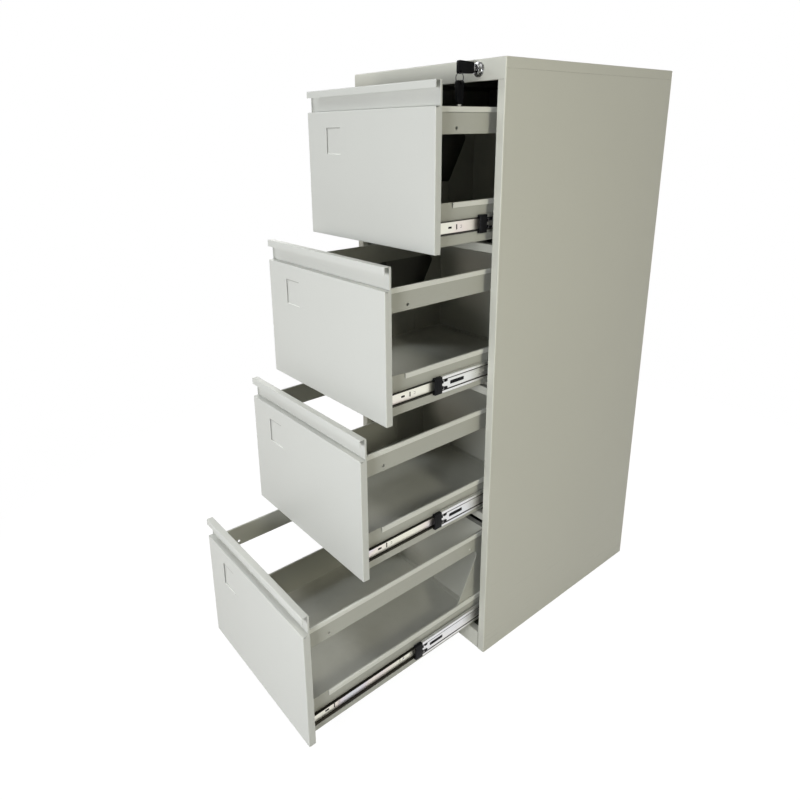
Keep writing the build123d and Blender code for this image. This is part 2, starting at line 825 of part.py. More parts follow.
def lock_brackets():
    """The bearing plate of the rod, hung from the cover, and the guides of the bar on the back."""
    under_cover = cabinet_height - cabinet_sheet
    y1 = crank_back - crank_sheet - bracket_play
    plate_left = lock_x - bearing_half_width
    plate_right = lock_x + bearing_half_width
    plate = block(plate_left, plate_right, y1 - bracket_sheet, y1, lock_z - bearing_drop, under_cover)
    plate += block(plate_left, plate_right, y1 - bearing_flange, y1, under_cover - bracket_sheet, under_cover)
    plate -= round_bar(rod_radius + plug_fit, lock_x, lock_z, y1 - bracket_sheet - overrun, y1 + overrun)
    right = lock_x - crank_throw + bracket_play
    left = lock_x - crank_throw - bar_width - bracket_play
    front_y = bar_front - bracket_play - bracket_sheet / 2
    keeper_y = bar_front + bar_sheet + bracket_play
    back_y = back_plane - 2 * cabinet_sheet
    plan = strip(
        [
            (left - bracket_sheet / 2, back_y),
            (left - bracket_sheet / 2, front_y),
            (right + bracket_sheet / 2, front_y),
            (right + bracket_sheet / 2, back_y),
        ],
        bracket_sheet,
        bracket_sheet,
    )
    guides = [plate]
    for middle_z in (drawer_foot[0] + bracket_height, drawer_foot[-1] + 2 * bracket_height):
        guide = along_z(plan, middle_z - bracket_height / 2, middle_z + bracket_height / 2)
        guide += block(left - keeper_lap, right + keeper_lap, keeper_y, keeper_y + bracket_sheet,
                       middle_z - bracket_height / 2, middle_z + bracket_height / 2)
        guides.append(guide)
    return guides


# Assembly

save("side_right", [side_panel()])
save("side_left", [mirror(side_panel(), about=Plane.YZ)])
save("top_cover", [top_cover()])
save("base_pan", [base_pan()])
save("back_panel", [back_sheet()])
save("cross_rails", cross_rails())
save("posts", posts(post_front_setback) + posts(post_rear_setback))

save("lock_barrel", [lock_barrel()])
save("lock_nut", [lock_nut()])
save("lock_plug", [lock_plug()])
save("lock_rod", [lock_rod()])
save("lock_crank", [lock_crank()])
save("lock_bar", lock_bar())
save("lock_brackets", lock_brackets())
key_head, key_blade = key(*key_hole_place(), False)
save("key_head", [key_head])
save("key_blade", [key_blade])
save("key_ring", [key_ring()])
spare_head, spare_blade = spare_key()
save("spare_key_head", [spare_head])
save("spare_key_blade", [spare_blade])

drawer_pieces = {
    "front_skin": [front_skin()],
    "front_liner": [front_liner()],
    "tray": [tray()],
    "back_panel": [back_panel()],
    "hanging_rails": hanging_rails(),
    "slide_inner": both_sides(inner_member()),
}
middle_pieces = {
    "slide_middle": both_sides(middle_member()),
    "slide_stop": [mirrored for piece in slide_stop() for mirrored in both_sides(piece)],
}
cage_outer = both_sides(outer_cage())
cage_inner = both_sides(inner_cage())
outer_members = []
for index, foot in enumerate(drawer_foot):
    name = "drawer_" + str(index + 1) + "_"
    closed = Pos(0, front_plane, foot)
    drawer_at = Pos(0, -drawers_open[index], 0) * closed
    middle_at = Pos(0, -middle_out[index], 0) * closed
    inner_out = drawers_open[index] - middle_out[index]
    for piece_name, pieces in drawer_pieces.items():
        save(name + piece_name, [drawer_at * piece for piece in pieces])
    for piece_name, pieces in middle_pieces.items():
        save(name + piece_name, [middle_at * piece for piece in pieces])
    outer_cage_at = Pos(0, -middle_out[index] / 2, 0) * closed
    inner_cage_at = Pos(0, -middle_out[index] - inner_out / 2, 0) * closed
    save(name + "ball_cage_outer", [outer_cage_at * piece for piece in cage_outer])
    save(name + "ball_cage_inner", [inner_cage_at * piece for piece in cage_inner])
    outer_members += [closed * piece for piece in both_sides(outer_member())]
save("slide_outer_members", outer_members)
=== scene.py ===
# %% [markdown]
# # A steel file cabinet with four drawers part open
# The shape of the cabinet comes from its CAD model. Here it gets its paint, zinc and chrome,
# its small moulded and turned pieces, a studio to stand in and the camera of the photograph.
# Every object is in metres: X to the right, Y to the back, Z up, with the floor at zero.

# %% Load the frame
import json
from math import pi, radians
import bmesh
import bpy
from mathutils import Matrix, Vector


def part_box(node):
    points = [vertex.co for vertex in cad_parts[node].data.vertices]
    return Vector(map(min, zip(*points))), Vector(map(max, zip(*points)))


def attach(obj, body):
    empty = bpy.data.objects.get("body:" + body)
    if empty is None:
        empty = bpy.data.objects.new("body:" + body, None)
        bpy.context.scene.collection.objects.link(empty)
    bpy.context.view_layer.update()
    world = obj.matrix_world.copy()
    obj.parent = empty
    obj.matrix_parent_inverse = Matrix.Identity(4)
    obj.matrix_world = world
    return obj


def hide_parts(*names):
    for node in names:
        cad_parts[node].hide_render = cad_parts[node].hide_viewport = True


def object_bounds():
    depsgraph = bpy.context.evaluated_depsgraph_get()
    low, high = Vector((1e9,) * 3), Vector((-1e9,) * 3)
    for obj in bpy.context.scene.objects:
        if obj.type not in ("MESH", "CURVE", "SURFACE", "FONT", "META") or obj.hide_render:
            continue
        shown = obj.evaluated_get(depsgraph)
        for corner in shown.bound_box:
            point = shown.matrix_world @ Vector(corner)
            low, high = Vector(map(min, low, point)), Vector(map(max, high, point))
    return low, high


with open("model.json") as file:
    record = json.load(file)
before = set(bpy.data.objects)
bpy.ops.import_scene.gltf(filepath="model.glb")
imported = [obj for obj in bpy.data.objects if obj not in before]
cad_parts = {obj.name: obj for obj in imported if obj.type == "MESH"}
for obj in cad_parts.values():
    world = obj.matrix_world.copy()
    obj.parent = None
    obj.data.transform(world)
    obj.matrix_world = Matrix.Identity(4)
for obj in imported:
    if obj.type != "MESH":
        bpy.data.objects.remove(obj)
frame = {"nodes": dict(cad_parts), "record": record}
cad_low, cad_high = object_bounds()
nodes = frame["nodes"]
drawers = range(1, 5)
print("CAD nodes:", len(nodes), "box:", [round(v, 4) for v in (*cad_low, *cad_high)])

# %% [markdown]
# ## The camera
# A tall piece photographed from the front right and a little above its middle. The uprights lean
# together towards the floor, so the lens is wide and close. Height, distance and lens were worked
# out from the cabinet's own corners; the small shift puts the object where the picture has it.

# %% Place the camera
camera_data = bpy.data.cameras.new("studio_camera")
camera = bpy.data.objects.new("studio_camera", camera_data)
bpy.context.scene.collection.objects.link(camera)
bpy.context.scene.camera = camera
camera_place = (1.04459, -1.25389, 1.20802)
camera_azimuth, camera_elevation, camera_roll = radians(51.090), radians(16.769), radians(-0.833)
turn = Matrix.Rotation(camera_azimuth, 4, "Z") @ Matrix.Rotation(pi / 2 - camera_elevation, 4, "X")
camera.matrix_world = Matrix.Translation(camera_place) @ turn @ Matrix.Rotation(camera_roll, 4, "Z")
camera_data.sensor_width = 36.0
camera_data.lens = 28.529
camera_data.shift_x = 0.0216
camera_data.shift_y = -0.0977
camera_data.clip_start, camera_data.clip_end = 0.02, 60.0
print("camera at", [round(v, 3) for v in camera.matrix_world.translation])

# %% [markdown]
# ## Small helpers for materials
# A material here is a Principled shader and a few nodes that feed it. These helpers save typing:
# they make a node, join two sockets, read a place or a noise, and start a group or a material.

# %% Node helpers
def add(tree, kind, **values):
    node = tree.nodes.new(kind)
    for name, value in values.items():
        if hasattr(node, name):
            setattr(node, name, value)
        else:
            node.inputs[name.replace("_", " ")].default_value = value
    return node


def join(tree, source, target):
    tree.links.new(source, target)


def maths(tree, operation, first, second=0.5, clamp=False):
    node = tree.nodes.new("ShaderNodeMath")
    node.operation, node.use_clamp = operation, clamp
    for socket, value in zip(node.inputs, (first, second)):
        if isinstance(value, (int, float)):
            socket.default_value = value
        else:
            join(tree, value, socket)
    return node.outputs[0]


def blend_colour(tree, amount, first, second, mode="MIX"):
    node = tree.nodes.new("ShaderNodeMix")
    node.data_type, node.blend_type = "RGBA", mode
    for index, value in ((0, amount), (6, first), (7, second)):
        if isinstance(value, (int, float, tuple)):
            node.inputs[index].default_value = value
        else:
            join(tree, value, node.inputs[index])
    return node.outputs[2]


def centred(tree, source, amount):
    """A value of 0 to 1 as a change of up to half the amount either way."""
    return maths(tree, "MULTIPLY", maths(tree, "SUBTRACT", source, 0.5), amount)


def above(tree, source, threshold, contrast):
    """A mask that rises from 0 to 1 where the source passes the threshold."""
    return maths(tree, "MULTIPLY", maths(tree, "SUBTRACT", source, threshold, True), contrast, True)


def object_place(tree):
    return add(tree, "ShaderNodeTexCoord").outputs["Object"]


def parts_of(tree, vector):
    node = add(tree, "ShaderNodeSeparateXYZ")
    join(tree, vector, node.inputs[0])
    return node.outputs


def stretched(tree, vector, scale):
    node = add(tree, "ShaderNodeMapping")
    node.inputs["Scale"].default_value = scale
    join(tree, vector, node.inputs["Vector"])
    return node.outputs[0]


def noise_at(tree, vector, **values):
    node = add(tree, "ShaderNodeTexNoise", **values)
    join(tree, vector, node.inputs["Vector"])
    return node.outputs["Fac"]


def new_group(name, inputs, outputs):
    group = bpy.data.node_groups.new(name, "ShaderNodeTree")
    for label, kind, value in inputs:
        socket = group.interface.new_socket(label, in_out="INPUT", socket_type="NodeSocket" + kind)
        socket.default_value = value
    for label, kind in outputs:
        group.interface.new_socket(label, in_out="OUTPUT", socket_type="NodeSocket" + kind)
    return group, group.nodes.new("NodeGroupInput"), group.nodes.new("NodeGroupOutput")


def place_group(tree, group, **values):
    node = tree.nodes.new("ShaderNodeGroup")
    node.node_tree = group
    for name, value in values.items():
        node.inputs[name.replace("_", " ")].default_value = value
    return node


def new_material(name, **principled):
    material = bpy.data.materials.new(name)
    material.use_nodes = True
    tree = material.node_tree
    shader = tree.nodes["Principled BSDF"]
    for label, value in principled.items():
        shader.inputs[label.replace("_", " ")].default_value = value
    return material, tree, shader


def bump_from(tree, shader, height, distance, strength=1.0):
    bump = add(tree, "ShaderNodeBump", Distance=distance, Strength=strength)
    join(tree, height, bump.inputs["Height"])
    join(tree, bump.outputs[0], shader.inputs["Normal"])


print("helpers ready")

# %% [markdown]
# ## Powder coat
# Light grey powder coat is baked plastic: satin, with a very fine orange peel, slow changes of
# tone where the spray was thicker, and patches that hands have rubbed smoother. The group gives
# those three and small specks of grime, and leaves the shader in the material, so that each painted
# part sets its own amounts.

# %% A group for sprayed and baked paint
coat_group, coat_in, coat_out = new_group(
    "Baked Powder Coat",
    [("Paint", "Color", (0.6, 0.6, 0.57, 1)), ("Tone Drift", "Float", 0.06),
     ("Rubbing", "Float", 0.08), ("Gloss Base", "Float", 0.42), ("Grime", "Float", 0.15)],
    [("Colour", "Color"), ("Roughness", "Float"), ("Height", "Float")])
speck_threshold, speck_contrast, grime_colour = 0.66, 5.0, (0.2, 0.19, 0.16, 1)
coat_place = object_place(coat_group)
slow = noise_at(coat_group, coat_place, Scale=2.6, Detail=3.0, Roughness=0.5)
rubbed = noise_at(coat_group, coat_place, Scale=11.0, Detail=5.0, Roughness=0.6, Distortion=0.6)
peel = noise_at(coat_group, coat_place, Scale=620.0, Detail=2.0, Roughness=0.45)
specks = noise_at(coat_group, coat_place, Scale=160.0, Detail=2.0, Roughness=0.7)
shade = maths(coat_group, "ADD", centred(coat_group, slow, coat_in.outputs["Tone Drift"]), 1.0)
speck_mask = above(coat_group, specks, speck_threshold, speck_contrast)
grime_mask = maths(coat_group, "MULTIPLY", speck_mask, coat_in.outputs["Grime"])
toned = add(coat_group, "ShaderNodeVectorMath", operation="SCALE")
join(coat_group, coat_in.outputs["Paint"], toned.inputs[0])
join(coat_group, shade, toned.inputs["Scale"])
join(coat_group, blend_colour(coat_group, grime_mask, toned.outputs[0], grime_colour),
     coat_out.inputs["Colour"])
rub = centred(coat_group, rubbed, coat_in.outputs["Rubbing"])
join(coat_group, maths(coat_group, "ADD", rub, coat_in.outputs["Gloss Base"]),
     coat_out.inputs["Roughness"])
join(coat_group, peel, coat_out.inputs["Height"])
print("group:", coat_group.name)

# %% [markdown]
# ## Wear that follows the shape
# Two things gather on any cabinet: pale dust on what faces up, and scuffs low down where shoes
# and mops reach. The normal finds the first and the height above the floor the second, so neither
# depends on where the camera is.

# %% A group for dust and low scuffs
wear_group, wear_in, wear_out = new_group(
    "Dust And Scuffs",
    [("Colour", "Color", (0.6, 0.6, 0.57, 1)), ("Dust", "Float", 0.2), ("Scuffs", "Float", 0.3),
     ("Scuff Height", "Float", 0.25)],
    [("Colour", "Color"), ("Roughness Rise", "Float")])
scuff_threshold, scuff_contrast, scuff_colour = 0.6, 4.0, (0.22, 0.21, 0.19, 1)
upward_power, dust_roughness, dust_colour = 3.0, 0.4, (0.72, 0.7, 0.66, 1)
wear_place = object_place(wear_group)
wear_normal = add(wear_group, "ShaderNodeNewGeometry")
normal_parts = parts_of(wear_group, wear_normal.outputs["Normal"])
place_parts = parts_of(wear_group, wear_place)
dust_cloud = noise_at(wear_group, wear_place, Scale=24.0, Detail=6.0, Roughness=0.65)
scuff_lines = noise_at(wear_group, stretched(wear_group, wear_place, (9.0, 9.0, 160.0)),
                       Scale=1.0, Detail=4.0, Roughness=0.6)
facing_up = maths(wear_group, "POWER", maths(wear_group, "MAXIMUM", normal_parts["Z"], 0.0),
                  upward_power)
dust_mask = maths(wear_group, "MULTIPLY", maths(wear_group, "MULTIPLY", facing_up, dust_cloud),
                  wear_in.outputs["Dust"], True)
low_down = maths(wear_group, "SUBTRACT", 1.0,
                 maths(wear_group, "DIVIDE", place_parts["Z"], wear_in.outputs["Scuff Height"]), True)
scuff_mask = above(wear_group, scuff_lines, scuff_threshold, scuff_contrast)
scuff_mask = maths(wear_group, "MULTIPLY", maths(wear_group, "MULTIPLY", scuff_mask, low_down),
                   wear_in.outputs["Scuffs"], True)
dusty = blend_colour(wear_group, dust_mask, wear_in.outputs["Colour"], dust_colour)
join(wear_group, blend_colour(wear_group, scuff_mask, dusty, scuff_colour), wear_out.inputs["Colour"])
join(wear_group, maths(wear_group, "MULTIPLY", dust_mask, dust_roughness),
     wear_out.inputs["Roughness Rise"])
print("group:", wear_group.name)

# %% [markdown]
# ## Painted shade inside the shell
# Little light reaches into a closed shell, and that shade is painted in. The colour is full on the outside
# and on the edges round the drawers, and it darkens to near black a little way in: painted shade. A box in
# object coordinates, whose faces lie inside the thickness of the sheets, tells inside from outside.

# %% A group for painted shade inside the shell
inner_group, inner_in, inner_out = new_group(
    "Painted Inner Shade",
    [("Colour", "Color", (0.6, 0.6, 0.57, 1)), ("Shade Colour", "Color", (0.05, 0.05, 0.045, 1)),
     ("Amount", "Float", 0.9)],
    [("Colour", "Color")])
shell_low, shell_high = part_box("side_left")[0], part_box("side_right")[1]
border_depth, soft_border = 0.0007, 0.0004
shade_start, shade_fade = 0.010, 0.045
inner_parts = parts_of(inner_group, object_place(inner_group))
from_side = maths(inner_group, "SUBTRACT", shell_high[0] - border_depth,
                  maths(inner_group, "ABSOLUTE", inner_parts["X"]))
from_top = maths(inner_group, "SUBTRACT", cad_high[2] - border_depth, inner_parts["Z"])
from_rear = maths(inner_group, "SUBTRACT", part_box("back_panel")[1][1] - border_depth, inner_parts["Y"])
from_front = maths(inner_group, "SUBTRACT", inner_parts["Y"], shell_low[1] + shade_start)
inside = maths(inner_group, "DIVIDE", from_front, shade_fade, True)
for depth in (from_side, from_top, from_rear):
    inside = maths(inner_group, "MULTIPLY", inside,
                   maths(inner_group, "DIVIDE", depth, soft_border, True))
# Inside the shell the colour goes to the near-black shade colour: painted shade.
inside = maths(inner_group, "MULTIPLY", inside, inner_in.outputs["Amount"])
join(inner_group,
     blend_colour(inner_group, inside, inner_in.outputs["Colour"], inner_in.outputs["Shade Colour"]),
     inner_out.inputs["Colour"])
print("group:", inner_group.name)

# %% [markdown]
# ## Painted highlight on the rims of the drawer boxes
# The folded lips along the tops of the trays and rails stand out from the sides. Their rounded tops
# catch the light from above, and that highlight is painted in: the lips are lighter than the flat
# sheet below them. The distance out from the box's side tells the two apart.

# %% A group for painted highlight on rims
rim_group, rim_in, rim_out = new_group(
    "Painted Rim Highlight",
    [("Colour", "Color", (0.6, 0.6, 0.57, 1)), ("Rim", "Color", (0.8, 0.8, 0.75, 1)),
     ("Amount", "Float", 0.8)],
    [("Colour", "Color")])
lip_reach, rim_edge = 0.0022, 0.0008
box_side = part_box("drawer_1_back_panel")[1][0]
rim_parts = parts_of(rim_group, object_place(rim_group))
beyond = maths(rim_group, "SUBTRACT", maths(rim_group, "ABSOLUTE", rim_parts["X"]),
               box_side + lip_reach)
# The lighter colour on the lips is a painted highlight.
rim_highlight_mask = maths(rim_group, "MULTIPLY", maths(rim_group, "DIVIDE", beyond, rim_edge, True),
                 rim_in.outputs["Amount"])
join(rim_group, blend_colour(rim_group, rim_highlight_mask, rim_in.outputs["Colour"], rim_in.outputs["Rim"]),
     rim_out.inputs["Colour"])

# %% Paints for the body, the fronts and the drawer boxes
def painted(name, colour, drift=0.06, gloss=0.42, rubbing=0.08, grime=0.12, dust=0.2, scuffs=0.3,
            inside_shade=0.0, rim=0.0):
    material, tree, shader = new_material(name, Specular_IOR_Level=0.45)
    coat = place_group(tree, coat_group, Paint=(*colour, 1), Tone_Drift=drift, Rubbing=rubbing,
                       Gloss_Base=gloss, Grime=grime)
    wear = place_group(tree, wear_group, Dust=dust, Scuffs=scuffs)
    join(tree, coat.outputs["Colour"], wear.inputs["Colour"])
    colour_out = wear.outputs["Colour"]
    for group, amount in ((inner_group, inside_shade), (rim_group, rim)):
        if amount:
            layer = place_group(tree, group, Amount=amount)
            join(tree, colour_out, layer.inputs["Colour"])
            colour_out = layer.outputs["Colour"]
    join(tree, colour_out, shader.inputs["Base Color"])
    join(tree, maths(tree, "ADD", coat.outputs["Roughness"], wear.outputs["Roughness Rise"]),
         shader.inputs["Roughness"])
    bump_from(tree, shader, coat.outputs["Height"], distance=0.00004, strength=0.6)
    return material


# The body's colour darkens to near black inside the shell: painted shade.
body_paint = painted("body_powder_coat", (0.64, 0.635, 0.565), drift=0.05, inside_shade=0.9)
front_paint = painted("front_powder_coat", (0.615, 0.62, 0.585), drift=0.04, scuffs=0.15)
# The drawer boxes' lips are painted lighter: painted highlight.
box_paint = painted("drawer_box_paint", (0.47, 0.47, 0.42), drift=0.08, gloss=0.4, grime=0.3,
                    dust=0.35, rim=0.85)
print("paints:", body_paint.name, front_paint.name, box_paint.name)

# %% [markdown]
# ## Zinc plate
# The slides are bright zinc. Rolled strip shows faint lines along its length, and the thin
# passivation film shifts from straw through pink and violet to pale blue. Film colour is a ramp
# over a noise that is squeezed in height, so that its patches lie along the strip.

# %% A group for plated strip
zinc_group, zinc_in, zinc_out = new_group(
    "Plated Strip",
    [("Metal", "Color", (0.7, 0.7, 0.7, 1)), ("Film", "Float", 0.4), ("Gloss Base", "Float", 0.3)],
    [("Colour", "Color"), ("Roughness", "Float"), ("Height", "Float")])
line_roughness = 0.22
film_stops = ((0.26, (0.55, 0.66, 0.78, 1)), (0.38, (0.7, 0.6, 0.72, 1)), (0.45, (0.86, 0.72, 0.64, 1)),
              (0.53, (0.88, 0.86, 0.7, 1)), (0.7, (0.86, 0.82, 0.6, 1)))
zinc_place = object_place(zinc_group)
film_noise = noise_at(zinc_group, stretched(zinc_group, zinc_place, (6.0, 7.0, 12.0)),
                      Scale=1.0, Detail=2.0, Roughness=0.4)
line_noise = noise_at(zinc_group, stretched(zinc_group, zinc_place, (900.0, 6.0, 900.0)),
                      Scale=1.0, Detail=3.0, Roughness=0.6)
film_ramp = add(zinc_group, "ShaderNodeValToRGB")
ramp_elements = film_ramp.color_ramp.elements
for index, (position, colour) in ((0, film_stops[0]), (1, film_stops[-1])):
    ramp_elements[index].position = position
    ramp_elements[index].color = colour
for position, colour in film_stops[1:-1]:
    ramp_elements.new(position).color = colour
join(zinc_group, film_noise, film_ramp.inputs["Fac"])
join(zinc_group, blend_colour(zinc_group, zinc_in.outputs["Film"], zinc_in.outputs["Metal"],
                              film_ramp.outputs["Color"]), zinc_out.inputs["Colour"])
line_part = centred(zinc_group, line_noise, line_roughness)
join(zinc_group, maths(zinc_group, "ADD", line_part, zinc_in.outputs["Gloss Base"]),
     zinc_out.inputs["Roughness"])
join(zinc_group, line_noise, zinc_out.inputs["Height"])
print("group:", zinc_group.name)
# %% [markdown]
# ## Painted shade along the ball tracks
# The bent edges of a slide member lie in shade, which is painted as a dark line along each edge: painted
# shade.
# The four slides of a side are one pitch apart, so a ping-pong of the height gives the distance to
# the nearest slide's middle, and one material serves all the drawers.

# %% A group for painted shade along the tracks
track_group, track_in, track_out = new_group(
    "Painted Track Shade",
    [("Colour", "Color", (0.7, 0.7, 0.7, 1)), ("Track", "Float", 0.0115),
     ("Half Width", "Float", 0.0016)],
    [("Colour", "Color")])
inner_boxes = [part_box(f"drawer_{number}_slide_inner") for number in drawers]
slide_levels = [(low[2] + high[2]) / 2 for low, high in inner_boxes]
slide_pitch, track_shade_edge = slide_levels[0] - slide_levels[1], 0.0007
track_shade_colour = (0.025, 0.023, 0.018, 1)
track_parts = parts_of(track_group, object_place(track_group))
over_first = maths(track_group, "SUBTRACT", track_parts["Z"], slide_levels[0])
from_level = maths(track_group, "PINGPONG", over_first, slide_pitch / 2)
from_track = maths(track_group, "ABSOLUTE",
                   maths(track_group, "SUBTRACT", from_level, track_in.outputs["Track"]))
# A near-black line along each track edge: painted shade.
track_shade = maths(track_group, "SUBTRACT", track_in.outputs["Half Width"], from_track)
track_shade = maths(track_group, "DIVIDE", track_shade, track_shade_edge, True)
join(track_group, blend_colour(track_group, track_shade, track_in.outputs["Colour"], track_shade_colour),
     track_out.inputs["Colour"])
print("slides are", round(slide_pitch, 4), "m apart")

# %% Plated finishes
def plated(name, colour, film=0.3, gloss=0.32, metallic=0.9, track=0.0, half_width=0.0016):
    material, tree, shader = new_material(name, Metallic=metallic)
    zinc = place_group(tree, zinc_group, Metal=(*colour, 1), Film=film, Gloss_Base=gloss)
    colour_out = zinc.outputs["Colour"]
    # A painted shade line along each track edge of the slide member.
    if track:
        track_shaded = place_group(tree, track_group, Track=track, Half_Width=half_width)
        join(tree, colour_out, track_shaded.inputs["Colour"])
        colour_out = track_shaded.outputs["Colour"]
    join(tree, colour_out, shader.inputs["Base Color"])
    join(tree, zinc.outputs["Roughness"], shader.inputs["Roughness"])
    bump_from(tree, shader, zinc.outputs["Height"], distance=0.00003, strength=0.5)
    return material


passivated_zinc = plated("slide_inner_zinc", (0.78, 0.78, 0.74), film=0.5, gloss=0.34, track=0.0120,
                         half_width=0.0019)
bright_zinc = plated("slide_middle_zinc", (0.76, 0.77, 0.77), film=0.12, gloss=0.3, track=0.0112)
zinc_steel = plated("slide_outer_zinc", (0.6, 0.61, 0.62), film=0.15, gloss=0.36)
cage_steel = plated("ball_cage_steel", (0.5, 0.5, 0.5), film=0.0, gloss=0.4)
key_steel = plated("key_nickel", (0.78, 0.77, 0.74), film=0.0, gloss=0.22)
ring_steel = plated("ring_spring_steel", (0.1, 0.1, 0.1), film=0.0, gloss=0.25)
# Near black so the lock rod and its fittings stay dark inside the cabinet: painted shade.
rod_steel = plated("lock_rod_painted_shade_steel", (0.015, 0.015, 0.017), film=0.0, gloss=0.7, metallic=0.4)
print("plated finishes: 7")

# %% [markdown]
# ## Black plastic and chrome
# The stops and key heads are moulded in black plastic with a fine spark-eroded grain. The lock is
# chromed brass, nearly a mirror, with small dark patches painted into its colour as painted reflections,
# and a little rougher in between.

# %% Plastic and chrome
grain_group, grain_in, grain_out = new_group(
    "Moulded Grain", [("Plastic", "Color", (0.02, 0.02, 0.02, 1)), ("Grain Size", "Float", 900.0)],
    [("Colour", "Color"), ("Roughness", "Float"), ("Height", "Float")])
worn_share, worn_roughness, plastic_roughness = 0.06, 0.25, 0.28
grain_place = object_place(grain_group)
grain = add(grain_group, "ShaderNodeTexNoise", Detail=2.0, Roughness=0.6)
join(grain_group, grain_place, grain.inputs["Vector"])
join(grain_group, grain_in.outputs["Grain Size"], grain.inputs["Scale"])
worn = noise_at(grain_group, grain_place, Scale=70.0, Detail=3.0, Roughness=0.6)
join(grain_group, blend_colour(grain_group, maths(grain_group, "MULTIPLY", worn, worn_share),
                               grain_in.outputs["Plastic"], (0.07, 0.07, 0.075, 1)),
     grain_out.inputs["Colour"])
worn_rise = maths(grain_group, "MULTIPLY", worn, worn_roughness)
join(grain_group, maths(grain_group, "ADD", worn_rise, plastic_roughness), grain_out.inputs["Roughness"])
join(grain_group, grain.outputs["Fac"], grain_out.inputs["Height"])


def moulded(name, colour, grain_size=900.0, shine=0.1):
    material, tree, shader = new_material(name, Specular_IOR_Level=shine)
    plastic = place_group(tree, grain_group, Plastic=(*colour, 1), Grain_Size=grain_size)
    join(tree, plastic.outputs["Colour"], shader.inputs["Base Color"])
    join(tree, plastic.outputs["Roughness"], shader.inputs["Roughness"])
    bump_from(tree, shader, plastic.outputs["Height"], distance=0.00004, strength=0.5)
    return material


def chromed(name, colour, roughness=0.1, reflection_dark_share=0.12, clear_threshold=0.42, clear_contrast=6.0):
    material, tree, shader = new_material(name, Metallic=1.0)
    swirl = noise_at(tree, object_place(tree), Scale=150.0, Detail=3.0, Roughness=0.5, Distortion=1.2)
    clear = above(tree, swirl, clear_threshold, clear_contrast)
    # The dark patches in the chrome's colour are painted reflections of dark surroundings.
    dark = (*(v * reflection_dark_share for v in colour), 1)
    join(tree, blend_colour(tree, clear, dark, (*colour, 1)), shader.inputs["Base Color"])
    join(tree, maths(tree, "ADD", maths(tree, "MULTIPLY", swirl, 0.12), roughness),
         shader.inputs["Roughness"])
    return material


stop_plastic = moulded("stop_black_plastic", (0.004, 0.004, 0.005))
key_plastic = moulded("key_black_plastic", (0.002, 0.002, 0.003), 1400.0, 0.06)
lock_chrome = chromed("lock_chrome_plate", (0.7, 0.7, 0.7))
print("plastic and chrome ready")

# %% Give every CAD node its finish
finish_of_slot = {
    "body_paint": body_paint, "front_paint": front_paint, "box_paint": box_paint, "zinc_steel": zinc_steel,
    "passivated_zinc": passivated_zinc, "bright_zinc": bright_zinc, "cage_steel": cage_steel,
    "stop_plastic": stop_plastic, "lock_chrome": lock_chrome, "lock_steel": rod_steel,
    "key_plastic": key_plastic, "key_steel": key_steel,
}
for entry in frame["record"]["subparts"]:
    mesh = nodes[entry["node"]].data
    mesh.materials.clear()
    mesh.materials.append(finish_of_slot[entry["material_slot"]])

# %% [markdown]
# ## Making pieces
# New pieces are bmesh shapes in the cabinet's own place. Before a shape becomes an object its
# doubles are merged, its normals are turned outwards, and edges sharper than 35 degrees are kept
# crisp while the rest are shaded smooth. Each piece rides on the CAD body that carries it.

# %% Mesh helpers
def finished(name, shape, finish, body, replaced=()):
    bmesh.ops.remove_doubles(shape, verts=shape.verts, dist=1e-6)
    bmesh.ops.recalc_face_normals(shape, faces=shape.faces)
    for face in shape.faces:
        face.smooth = True
    for edge in shape.edges:
        edge.smooth = len(edge.link_faces) == 2 and edge.calc_face_angle(0.0) < radians(35)
    mesh = bpy.data.meshes.new(name)
    shape.to_mesh(mesh)
    shape.free()
    piece = bpy.data.objects.new(name, mesh)
    bpy.context.scene.collection.objects.link(piece)
    mesh.materials.append(finish)
    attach(piece, body)
    if replaced:
        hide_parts(*replaced)


def rounded_box(shape, low, high, radius=0.0004, segments=2):
    low, high = Vector(low), Vector(high)
    corners = bmesh.ops.create_cube(shape, size=1.0)["verts"]
    bmesh.ops.scale(shape, vec=high - low, verts=corners)
    bmesh.ops.translate(shape, vec=(low + high) / 2, verts=corners)
    edges = list({edge for corner in corners for edge in corner.link_edges})
    bmesh.ops.bevel(shape, geom=edges, offset=radius, offset_type="OFFSET", segments=segments,
                    profile=0.5, affect="EDGES", material=-1)


def boxes_at(shape, origin, rows):
    """Rounded boxes whose corners are offsets from an origin: low, high, radius and segments."""
    for low, high, radius, segments in rows:
        rounded_box(shape, [base + offset for base, offset in zip(origin, low)],
                    [base + offset for base, offset in zip(origin, high)], radius, segments)


def mirrored_x(shape):
    parts = list(shape.verts) + list(shape.edges) + list(shape.faces)
    copied = bmesh.ops.duplicate(shape, geom=parts)["geom"]
    corners = [part for part in copied if isinstance(part, bmesh.types.BMVert)]
    bmesh.ops.scale(shape, vec=(-1, 1, 1), verts=corners)


def turned(shape, profile, centre, axis, steps=48):
    """A lathe-turned form: (radius, distance along the axis) pairs, from one end to the other."""
    axis, centre = Vector(axis), Vector(centre)
    outward = axis.orthogonal().normalized()
    points = [shape.verts.new(centre + outward * radius + axis * along) for radius, along in profile]
    edges = [shape.edges.new(pair) for pair in zip(points, points[1:])]
    bmesh.ops.spin(shape, geom=points + edges, cent=centre, axis=axis, angle=2 * pi, steps=steps,
                   use_merge=True)


print("mesh helpers ready")

# %% [markdown]
# ## The lock
# The housing is turned from a bar: a flange that hides the hole, a neck, and a dished front with a
# bore for the plug. A lathe profile spun round the lock's axis gives each of these with its small
# radii, which is what makes chrome look like chrome.

